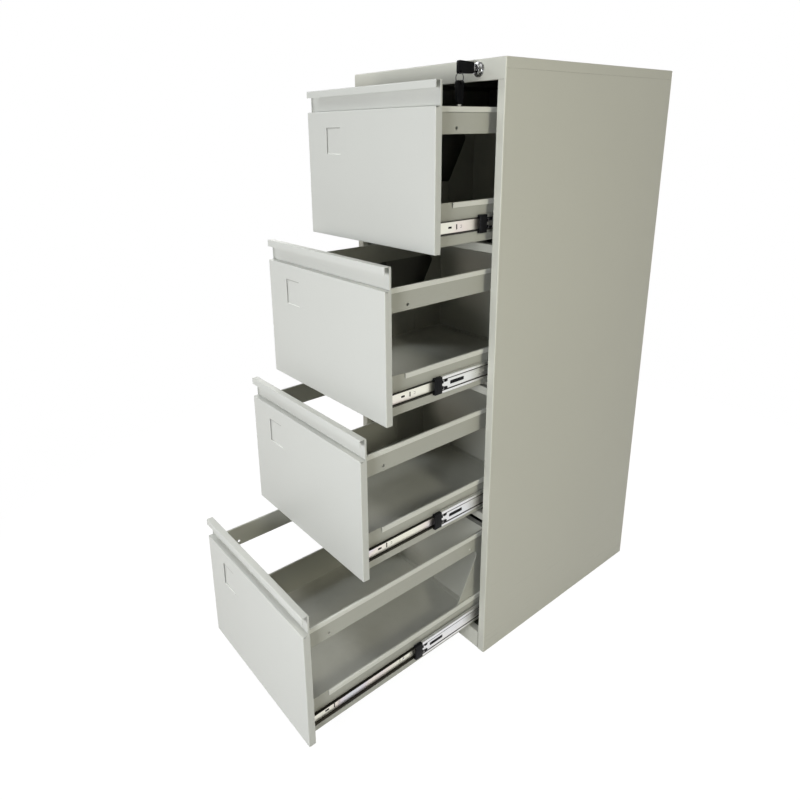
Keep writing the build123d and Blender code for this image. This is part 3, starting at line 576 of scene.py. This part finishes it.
# %% Turn the lock housing
barrel_low, barrel_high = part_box("lock_barrel")
lock_place = Vector(((barrel_low[0] + barrel_high[0]) / 2, 0.0, (barrel_low[2] + barrel_high[2]) / 2))
flange_back = -0.300
bore_radius, neck_radius = 0.00605, 0.0090
dished_front = ((bore_radius, 0.0010), (0.0064, 0.0004), (0.0070, 0.0001), (0.0086, 0.0),
                (0.0094, 0.0004), (0.0099, 0.0012), (0.0100, 0.0020))
flange = ((0.0100, -0.0040), (0.0102, -0.0034), (0.0108, -0.0030), (0.0124, -0.0029), (0.0134, -0.0024),
          (0.0139, -0.0015), (0.0140, -0.0004), (0.0140, 0.0), (neck_radius, 0.0))
housing_profile = [(radius, barrel_low[1] + along) for radius, along in dished_front]
housing_profile += [(radius, flange_back + along) for radius, along in flange]
housing_profile += [(neck_radius, barrel_high[1]), (bore_radius, barrel_high[1]), housing_profile[0]]
housing = bmesh.new()
turned(housing, housing_profile, lock_place, (0, 1, 0), 56)
finished("lock_housing_turned", housing, lock_chrome, "cabinet", ("lock_barrel",))
print("lock axis at x, z =", round(lock_place.x, 4), round(lock_place.z, 4))

# %% [markdown]
# ## The keys
# Both keys have a long black moulded head with a raised rim, a small bar across each side and a hole
# for the ring, and a flat nickel blade with a milled groove and cut teeth. The head's outline with
# its hole is filled once and pulled out to its thickness, so the ring can pass through the hole.

# %% A key head and a blade
head_length, head_thick, head_taper, corner_radius = 0.042, 0.0055, 0.84, 0.0042
hole_radius, hole_from_end, hole_over_edge = 0.0022, 0.006, 0.0033
rim_steps = ((0.0004, 0.0003), (0.0011, 0.0), (0.0004, -0.0005))
bar_start, bar_end, bar_half_length, bar_half_height = 0.025, 0.0262, 0.006, 0.0004
blade_length, blade_height, blade_thick = 0.028, 0.008, 0.0022
tooth_depths, groove_half, groove_depth = (0.0, 0.0009, 0.0016, 0.0009), 0.0009, 0.0005
head_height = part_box("key_head")[1][2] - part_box("key_head")[0][2]
flat_to_upright = Matrix(((0, 0, 1, 0), (1, 0, 0, 0), (0, 1, 0, 0), (0, 0, 0, 1)))


def pull_out(shape, thickness):
    """Gives a flat outline its thickness, half to either side, with normals outwards."""
    pulled = bmesh.ops.extrude_face_region(shape, geom=list(shape.faces))
    raised = [part for part in pulled["geom"] if isinstance(part, bmesh.types.BMVert)]
    bmesh.ops.translate(shape, vec=(0, 0, thickness), verts=raised)
    bmesh.ops.translate(shape, vec=(0, 0, -thickness / 2), verts=shape.verts)
    bmesh.ops.recalc_face_normals(shape, faces=shape.faces)


def key_head(hole_up, rise):
    """The head lies along +Y from 0, its plate in Y and Z, and is taller above by the rise."""
    shape = bmesh.new()
    plate = bmesh.ops.create_grid(shape, x_segments=1, y_segments=1, size=0.5)["verts"]
    bmesh.ops.scale(shape, vec=(head_length, head_height, 1), verts=plate)
    bmesh.ops.translate(shape, vec=(head_length / 2, 0, 0), verts=plate)
    for corner in plate:
        if corner.co.x > head_length / 2:
            corner.co.y *= head_taper
        if corner.co.y > 0:
            corner.co.y += rise
    bmesh.ops.bevel(shape, geom=list(shape.verts), offset=corner_radius, segments=6, profile=0.5,
                    affect="VERTICES", material=-1)
    bmesh.ops.delete(shape, geom=list(shape.faces), context="FACES_ONLY")
    bmesh.ops.create_circle(shape, segments=24, radius=hole_radius,
                            matrix=Matrix.Translation((hole_from_end, hole_up, 0)))
    bmesh.ops.triangle_fill(shape, use_beauty=True, use_dissolve=False, edges=list(shape.edges),
                            normal=(0, 0, 1))
    pull_out(shape, head_thick)
    for facing in (1, -1):
        panel = [face for face in shape.faces if face.normal.z * facing > 0.9]
        for inward, outward in rim_steps:
            bmesh.ops.inset_region(shape, faces=panel, thickness=inward, depth=outward,
                                   use_boundary=True, use_even_offset=False)
    for facing in (1, -1):
        middle = facing * (head_thick / 2 - bar_half_height)
        rounded_box(shape, (bar_start, -bar_half_length, middle - bar_half_height),
                    (bar_end, bar_half_length, middle + bar_half_height), 0.0003)
    bmesh.ops.transform(shape, matrix=flat_to_upright, verts=shape.verts)
    return shape


def key_blade():
    """The blade goes on from the head along +Y, with its groove and its teeth."""
    shape = bmesh.new()
    blade = bmesh.ops.create_grid(shape, x_segments=28, y_segments=5, size=0.5)["verts"]
    bmesh.ops.scale(shape, vec=(blade_length, blade_height, 1), verts=blade)
    bmesh.ops.translate(shape, vec=(head_length + blade_length / 2, 0, 0), verts=blade)
    for point in blade:
        station = round((point.co.x - head_length) * 1000)
        if point.co.y < 0.0001 - blade_height / 2 and 6 < station < 26:
            point.co.y += tooth_depths[station % len(tooth_depths)]
        if station == 28:
            point.co.y *= 0.5
    pull_out(shape, blade_thick)
    groove = [face for face in shape.faces if abs(face.calc_center_median().y) < groove_half
              and abs(face.normal.z) > 0.9]
    bmesh.ops.inset_region(shape, faces=groove, thickness=0.0002, depth=-groove_depth,
                           use_boundary=True, use_even_offset=False)
    bmesh.ops.transform(shape, matrix=flat_to_upright, verts=shape.verts)
    return shape

# %% Put the keys in their places
key_low, key_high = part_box("key_head")
spare_low, spare_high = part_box("spare_key_head")
inserted_rise = 0.0045
key_place = Matrix.Translation((lock_place.x, key_low[1], (key_low[2] + key_high[2]) / 2))
spare_place = (Matrix.Translation((lock_place.x, (spare_low[1] + spare_high[1]) / 2, spare_high[2]))
               @ Matrix.Rotation(-pi / 2, 4, "X"))
for label, body, place, hole_up, rise in (
        ("key", "lock_core", key_place, hole_over_edge - head_height / 2, inserted_rise),
        ("spare_key", "spare", spare_place, 0.0, 0.0)):
    head, blade = key_head(hole_up, rise), key_blade()
    for shape in (head, blade):
        bmesh.ops.transform(shape, matrix=place, verts=shape.verts)
    finished(label + "_moulded_head", head, key_plastic, body, (label + "_head",))
    finished(label + "_cut_blade", blade, key_steel, body, (label + "_blade",))
print("inserted key reaches forward to y =", round(key_low[1], 4))

# %% [markdown]
# ## The split ring
# A key ring is one springy wire wound twice round. A small circle is spun two turns while it moves
# along the ring's axis by a wire's thickness a turn, which is a screw with two coils. Its free end
# stands a little away, as it does on a ring that has been opened often.

# %% Wind the ring
ring_low, ring_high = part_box("key_ring")
ring_middle = (Vector(ring_low) + Vector(ring_high)) / 2
wire, wire_inset = 0.0006, 0.0007
coils, coil_steps = 2, 88
end_share, end_reach, end_bend, end_steps = 0.8, 0.016, radians(50), 14
ring_turn = (ring_high[2] - ring_low[2]) / 2 - wire_inset


def wound(start, segments, radius, centre, angle, steps, advance=0.0):
    """A wire's round section at the start, spun round the centre and closed at both ends."""
    shape = bmesh.new()
    section = bmesh.ops.create_circle(shape, cap_ends=False, segments=segments, radius=radius,
                                      matrix=Matrix.Translation(start) @ Matrix.Rotation(pi / 2, 4, "Y"))
    section = section["verts"]
    loop = list({edge for corner in section for edge in corner.link_edges})
    bmesh.ops.spin(shape, geom=section + loop, cent=centre, axis=(0, 1, 0), angle=angle, steps=steps,
                   dvec=(0, advance, 0), use_merge=False)
    bmesh.ops.holes_fill(shape, edges=[edge for edge in shape.edges if edge.is_boundary], sides=0)
    return shape


ring_foot = ring_middle + Vector((0, 0, -ring_turn))
ring = wound(ring_foot - Vector((0, coils * wire, 0)), 10, wire, ring_middle, coils * 2 * pi, coil_steps,
             coils * 2 * wire / coil_steps)
finished("key_split_ring", ring, ring_steel, "ring", ("key_ring",))
loose_end = wound(ring_foot, 8, wire * end_share, ring_foot - Vector((0, 0, end_reach)), -end_bend,
                  end_steps)
finished("key_ring_loose_end", loose_end, key_steel, "ring")
print("ring turns at radius", round(ring_turn, 4))

# %% [markdown]
# ## Stops on the slides
# Each middle slide member carries a black moulding on its front end: a channel that wraps the inner
# member and buffers it, two clips that snap through the strip's slots, and a long black insert that
# fills its window. Boxes with rounded edges are how a moulder would cut it.

# %% Mould the stops
# Offsets are from the stop's outer face, the strip's front end and the slide's middle height.
stop_reach, stop_half, channel_depth, rib_pitch = 0.020, 0.018, 0.0078, 0.0042
stop_plate = [((-0.0033, -stop_reach, -stop_half), (0.0, 0.0, stop_half), 0.0008, 3)]
paired_forms = {
    "channel": ((-channel_depth, -stop_reach), (-0.0028, 0.0), (0.0136, stop_half), 0.0006),
    "clip behind the strip": ((-0.0025, 0.0081), (-0.0010, 0.0159), (0.0067, 0.0103), 0.0003),
    "clip's head": ((-0.0012, 0.0062), (-0.0001, 0.0142), (0.0052, 0.0112), 0.0004),
    "foot of the clip": ((-0.0012, -0.0005), (-0.0001, 0.0036), (0.0030, 0.0090), 0.0004),
}
rib_first, rib_width, rib_half = -0.0175, 0.0014, 0.0125
stop_ribs = [((-0.0006, rib_first + rib * rib_pitch, -rib_half),
              (0.0003, rib_first + rib * rib_pitch + rib_width, rib_half), 0.0003, 2) for rib in range(4)]
window_insert = [((-0.0026, 0.0233, -0.0037), (-0.0012, 0.0628, 0.0037), 0.0006, 2),
                 ((-0.0018, 0.0240, -0.0024), (-0.0004, 0.0300, 0.0024), 0.0004, 2)]
stop_pairs = []
for up in (1, -1):
    for low, high, heights, radius in paired_forms.values():
        foot, head = sorted(up * height for height in heights)
        stop_pairs.append(((*low, foot), (*high, head), radius, 2))
for number in drawers:
    stop_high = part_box(f"drawer_{number}_slide_stop")[1]
    strip_low, strip_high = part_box(f"drawer_{number}_slide_middle")
    stop = bmesh.new()
    boxes_at(stop, (stop_high[0], strip_low[1], (strip_low[2] + strip_high[2]) / 2),
             stop_plate + stop_pairs + stop_ribs + window_insert)
    mirrored_x(stop)
    finished(f"drawer_{number}_stop_moulding", stop, stop_plastic, f"slide_middle_{number}",
             (f"drawer_{number}_slide_stop",))
print("stops on", len(drawers), "drawers")

# %% [markdown]
# ## Screws and catches of the inner members
# The inner member is fixed to the drawer's side with low cross-head screws. In front of them it has
# an oblong fixing slot, a black lever in a narrow slot, and a shallow stamped mark. The screw is
# turned like the lock. Its cross, the fixing slot and the stamped mark are thin black bars that stand
# in for the shade in these recesses: painted shade. Only the lever is black plastic.

# %% Add screws, levers and the painted shade of their recesses
# Offsets are from the member's web, its front end and its middle height.
screws_from_front, web_from_outside = (0.236, 0.480), 0.0055
screw_profile = [(0.00001, 0.0006), (0.0012, 0.0007), (0.0022, 0.0012), (0.0030, 0.0013),
                 (0.0034, 0.0009), (0.0036, 0.0003), (0.0036, -0.0001), (0.0021, -0.0004),
                 (0.0021, -0.0011), (0.00001, -0.0011)]
# Black bars for the cross, the slot and the stamped mark: painted shade in recesses.
screw_cross_shade = [((0.0006, -0.0019, -0.0004), (0.0009, 0.0019, 0.0004), 0.0001, 1),
               ((0.0006, -0.0004, -0.0019), (0.0009, 0.0004, 0.0019), 0.0001, 1)]
fixing_slot_shade = [((-0.0006, 0.0284, -0.0019), (0.0002, 0.0376, 0.0019), 0.0003, 2)]
stamped_mark_shade = [((0.0, 0.0605, -0.0025), (0.0002, 0.0647, -0.0020), 0.0001, 1),
                ((0.0, 0.0605, 0.0020), (0.0002, 0.0647, 0.0025), 0.0001, 1),
                ((0.0, 0.0643, -0.0025), (0.0002, 0.0648, 0.0025), 0.0001, 1)]
lever = [((-0.0010, 0.0501, -0.0048), (0.0009, 0.0519, 0.0048), 0.0003, 2)]
for number in drawers:
    inner_low, inner_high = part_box(f"drawer_{number}_slide_inner")
    level = (inner_low[2] + inner_high[2]) / 2
    web = inner_high[0] - web_from_outside
    screws, levers_and_shade = bmesh.new(), bmesh.new()
    for back in screws_from_front:
        place = (web, inner_low[1] + back, level)
        turned(screws, screw_profile, place, (1, 0, 0), 24)
        boxes_at(levers_and_shade, place, screw_cross_shade)
    boxes_at(levers_and_shade, (web, inner_low[1], level), fixing_slot_shade + stamped_mark_shade + lever)
    for shape in (screws, levers_and_shade):
        mirrored_x(shape)
    finished(f"drawer_{number}_slide_screws", screws, key_steel, f"drawer_{number}")
    finished(f"drawer_{number}_slide_levers_and_recess_shade", levers_and_shade, stop_plastic, f"drawer_{number}")
print("screws a drawer:", 2 * len(screws_from_front))

# %% [markdown]
# ## The label's place
# The front is pressed in for a label that slides in from the right: deep at the left and running out
# to nothing. The press leaves rolled edges above and below. A slim bar with rounded edges lies along
# each of the two, just behind the front's face: the lower one painted light as a painted highlight, the
# upper one painted dark as painted shade.

# %% Roll the pressing's edges
# The lower edge bar is painted light as a painted highlight, and the upper one dark as painted shade.
highlight_edge_paint = painted("pressed_edge_painted_highlight", (0.86, 0.87, 0.83), drift=0.03, gloss=0.35, scuffs=0.0,
                     grime=0.0, dust=0.0)
shade_paint = painted("pressed_edge_in_shade", (0.36, 0.36, 0.33), drift=0.03, scuffs=0.0, grime=0.0,
                      dust=0.0)
label_from_left, label_length, label_height = 0.0715, 0.070, 0.055
label_below_ledge, grip_height = 0.0325, 0.0437
edge_high, edge_start, edge_length = 0.0017, 0.0004, 0.049
edge_front, edge_back = 0.0001, 0.0016
edge_rows = [((edge_start, edge_front, 0.0), (edge_length, edge_back, edge_high), 0.0005, 3)]
for number in drawers:
    skin_low, skin_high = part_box(f"drawer_{number}_front_skin")
    left, face = skin_low[0] + label_from_left, skin_low[1]
    label_top = skin_high[2] - grip_height - label_below_ledge
    label_foot = label_top - label_height
    for label, foot, finish in (("lower", label_foot, highlight_edge_paint),
                                ("upper", label_top - edge_high, shade_paint)):
        edge = bmesh.new()
        boxes_at(edge, (left, face, foot), edge_rows)
        finished(f"drawer_{number}_label_{label}_edge", edge, finish, f"drawer_{number}")
print("label places are", label_length, "by", label_height, "m")

# %% [markdown]
# ## The seam under the top
# The side sheets are stepped in along their upper edge, so that the top's skirt laps over them and
# no light comes through the seam. The step is a slim strip behind the seam on each side.

# %% Lap the sides behind the skirt
skirt_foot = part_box("side_left")[1][2]
lap_inside, lap_sheet, lap_above, lap_below = 0.0012, 0.0007, 0.0045, 0.006
lap_from_front, lap_from_rear = 0.012, 0.004
lap_face = shell_high[0] - lap_inside
lap = bmesh.new()
rounded_box(lap, (lap_face - lap_sheet, shell_low[1] + lap_from_front, skirt_foot - lap_below),
            (lap_face, shell_high[1] - lap_from_rear, skirt_foot + lap_above), 0.0002)
mirrored_x(lap)
finished("side_seam_laps", lap, body_paint, "cabinet")
print("seam at z =", round(skirt_foot, 4))

# %% [markdown]
# ## Studio
# A pale floor and a pale surround, with soft panels on every side of the cabinet: two in front, two at
# the right, two at the left, one overhead and one behind. Floor and surround are white to the camera
# and to reflections, so that the picture's background is white. Near the cabinet the floor still
# takes a soft shadow, which fades out with the distance.

# %% Floor and world
floor_mesh = bpy.data.meshes.new("studio_floor")
floor_shape = bmesh.new()
bmesh.ops.create_grid(floor_shape, x_segments=1, y_segments=1, size=12.0)
floor_shape.to_mesh(floor_mesh)
floor_shape.free()
floor = bpy.data.objects.new("studio_floor", floor_mesh)
bpy.context.scene.collection.objects.link(floor)
floor_material, tree, shader = new_material("studio_floor_white", Roughness=0.8)
shader.inputs["Base Color"].default_value = (0.5, 0.5, 0.49, 1)
glow_share, glow_strength = 0.8, 1.2
fade_start, fade_end = 0.7, 1.6


def seen_or_mirrored(tree):
    """One for what the camera sees directly, in a reflection or through glass, and else zero."""
    path = add(tree, "ShaderNodeLightPath")
    return maths(tree, "MAXIMUM", path.outputs["Is Camera Ray"],
                 maths(tree, "MAXIMUM", path.outputs["Is Glossy Ray"],
                       path.outputs["Is Transmission Ray"]))


away = add(tree, "ShaderNodeVectorMath", operation="LENGTH")
join(tree, object_place(tree), away.inputs[0])
far = maths(tree, "SUBTRACT", away.outputs["Value"], fade_start)
far = maths(tree, "DIVIDE", far, fade_end - fade_start, True)
glow = add(tree, "ShaderNodeEmission", Color=(1, 1, 1, 1))
join(tree, maths(tree, "SUBTRACT", glow_strength, maths(tree, "MULTIPLY", far, glow_strength - 1.0)),
     glow.inputs["Strength"])
share = maths(tree, "ADD", glow_share, maths(tree, "MULTIPLY", far, 1.0 - glow_share))
mix = add(tree, "ShaderNodeMixShader")
join(tree, maths(tree, "MULTIPLY", seen_or_mirrored(tree), share), mix.inputs[0])
join(tree, shader.outputs[0], mix.inputs[1])
join(tree, glow.outputs[0], mix.inputs[2])
join(tree, mix.outputs[0], tree.nodes["Material Output"].inputs["Surface"])
floor_mesh.materials.append(floor_material)

world = bpy.data.worlds.new("studio_world")
bpy.context.scene.world = world
world.use_nodes = True
tree = world.node_tree
surround = tree.nodes["Background"]
ambient = 0.012
ambient_colour = (ambient, ambient, ambient * 0.98, 1)
join(tree, blend_colour(tree, seen_or_mirrored(tree), ambient_colour, (1, 1, 1, 1)),
     surround.inputs["Color"])
print("floor and surround ready")

# %% Lamps
def soft_lamp(name, place, aim, size, power, colour=(1, 1, 1)):
    data = bpy.data.lights.new(name, "AREA")
    data.shape, data.size, data.energy, data.color = "DISK", size, power, colour
    lamp = bpy.data.objects.new(name, data)
    bpy.context.scene.collection.objects.link(lamp)
    lamp.location = place
    lamp.rotation_mode = "QUATERNION"
    lamp.rotation_quaternion = (Vector(aim) - Vector(place)).to_track_quat("-Z", "Y")


soft_lamp("front_right_panel", (0.75, -2.25, 1.02), (0.0, -0.4, 0.6), 0.6, 24.5, (0.94, 0.97, 1.0))
soft_lamp("front_left_low", (-1.0, -2.4, 0.7), (0.0, -0.4, 0.6), 0.6, 7.0, (1.0, 0.93, 0.86))
soft_lamp("left_high", (-1.6, -1.2, 2.3), (0.0, -0.5, 0.5), 0.6, 12.0, (0.92, 0.98, 1.0))
soft_lamp("right_high", (2.2, -0.6, 1.8), (0.2, -0.1, 0.4), 0.4, 14.5, (1.0, 0.98, 0.82))
soft_lamp("right_low", (2.2, -0.3, 0.3), (0.2, 0.0, 0.4), 0.8, 4.0, (1.0, 0.98, 0.82))
soft_lamp("overhead_panel", (0.2, -1.3, 3.0), (0.0, -0.6, 0.0), 0.6, 10.0)
soft_lamp("rear_panel", (-0.6, 2.8, 1.6), (0.0, 0.3, 0.7), 1.0, 34.0, (1.0, 1.0, 0.97))
soft_lamp("left_panel", (-2.6, 0.5, 1.3), (0.0, -0.1, 0.7), 0.9, 13.0, (1.0, 1.0, 0.97))
print("lamps:", len(bpy.data.lights))

# %% Standard view
bpy.context.scene.view_settings.view_transform = "Standard"
